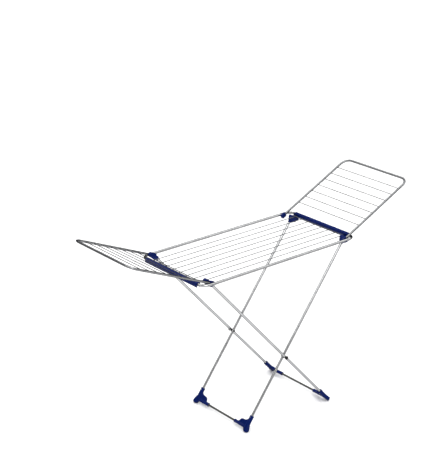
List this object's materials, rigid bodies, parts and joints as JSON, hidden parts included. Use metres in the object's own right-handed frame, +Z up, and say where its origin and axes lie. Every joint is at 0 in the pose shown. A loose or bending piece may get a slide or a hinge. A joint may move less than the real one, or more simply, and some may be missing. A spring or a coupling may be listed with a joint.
{
  "type": "winged clothes drying rack",
  "caption": "Free-standing folding laundry airer: a tube deck with drying rods on crossed scissor legs and a hinged, tilted wing at each end.",
  "frame": {"origin": "on the floor under the middle of the deck", "axes": "+X along the deck towards the end that rests in the inner legs' hooks, +Y across the deck towards the back, +Z up"},
  "size_m": [1.969, 0.562, 1.2283],
  "materials": {
    "tube_steel": "smooth silver-grey enamel, semi-gloss",
    "leg_steel": "bright drawn steel",
    "rod_steel": "smooth silver-grey enamel",
    "blue_plastic": "moulded, satin",
    "black_plastic": "moulded, satin",
    "dark_paint": "powder coat, semi-gloss",
    "zinc": "zinc plated"
  },
  "bodies": {
    "deck": {"deck_frame_front": "tube_steel", "deck_frame_back": "tube_steel", "frame_ferrules": "zinc", "deck_rod_1": "rod_steel", "deck_rod_2": "rod_steel", "deck_rod_3": "rod_steel", "deck_rod_4": "rod_steel", "deck_rod_5": "rod_steel", "deck_rod_6": "rod_steel", "deck_rod_7": "rod_steel", "deck_rod_8": "rod_steel", "cross_wire_left": "rod_steel", "cross_wire_right": "rod_steel", "end_bar_left": "blue_plastic", "end_bar_right": "blue_plastic", "leg_hinge_pins": "zinc", "wing_hinge_pins": "zinc", "wing_rests": "zinc"},
    "left_wing": {"left_wing_frame": "tube_steel", "left_wing_cap_front": "blue_plastic", "left_wing_cap_back": "blue_plastic", "left_wing_rod_1": "rod_steel", "left_wing_rod_2": "rod_steel", "left_wing_rod_3": "rod_steel", "left_wing_rod_4": "rod_steel", "left_wing_rod_5": "rod_steel", "left_wing_rod_6": "rod_steel", "left_wing_rod_7": "rod_steel"},
    "right_wing": {"right_wing_frame": "tube_steel", "right_wing_cap_front": "blue_plastic", "right_wing_cap_back": "blue_plastic", "right_wing_rod_1": "rod_steel", "right_wing_rod_2": "rod_steel", "right_wing_rod_3": "rod_steel", "right_wing_rod_4": "rod_steel", "right_wing_rod_5": "rod_steel", "right_wing_rod_6": "rod_steel", "right_wing_rod_7": "rod_steel"},
    "outer_legs": {"outer_leg_front": "leg_steel", "outer_leg_back": "leg_steel", "outer_foot_tube": "dark_paint", "outer_foot_front": "blue_plastic", "outer_foot_back": "blue_plastic", "outer_foot_rivets": "zinc", "leg_cap_front": "blue_plastic", "leg_cap_back": "blue_plastic", "scissor_bolts": "black_plastic", "scissor_spacers": "black_plastic"},
    "inner_legs": {"inner_leg_front": "leg_steel", "inner_leg_back": "leg_steel", "inner_foot_tube": "dark_paint", "inner_foot_front": "blue_plastic", "inner_foot_back": "blue_plastic", "inner_foot_rivets": "zinc", "leg_hook_front": "blue_plastic", "leg_hook_back": "blue_plastic"}
  },
  "joints": [
    {"name": "left_wing_fold", "type": "hinge", "parent": "deck", "child": "left_wing", "pos_m": [-0.48, 0, 0.985], "axis": [0, 1, 0], "range_deg": [0, 153]},
    {"name": "right_wing_fold", "type": "hinge", "parent": "deck", "child": "right_wing", "pos_m": [0.48, 0, 0.985], "axis": [0, -1, 0], "range_deg": [0, 147]},
    {"name": "outer_leg_fold", "type": "hinge", "parent": "deck", "child": "outer_legs", "pos_m": [-0.48, 0, 0.985], "axis": [0, 1, 0], "range_deg": [0, 36.5]},
    {"name": "scissor_fold", "type": "hinge", "parent": "outer_legs", "child": "inner_legs", "pos_m": [0.057, 0, 0.379], "axis": [0, -1, 0], "range_deg": [0, 73]}
  ],
  "couplings": [
    {"joint": "scissor_fold", "follows": "outer_leg_fold", "ratio": 2}
  ]
}
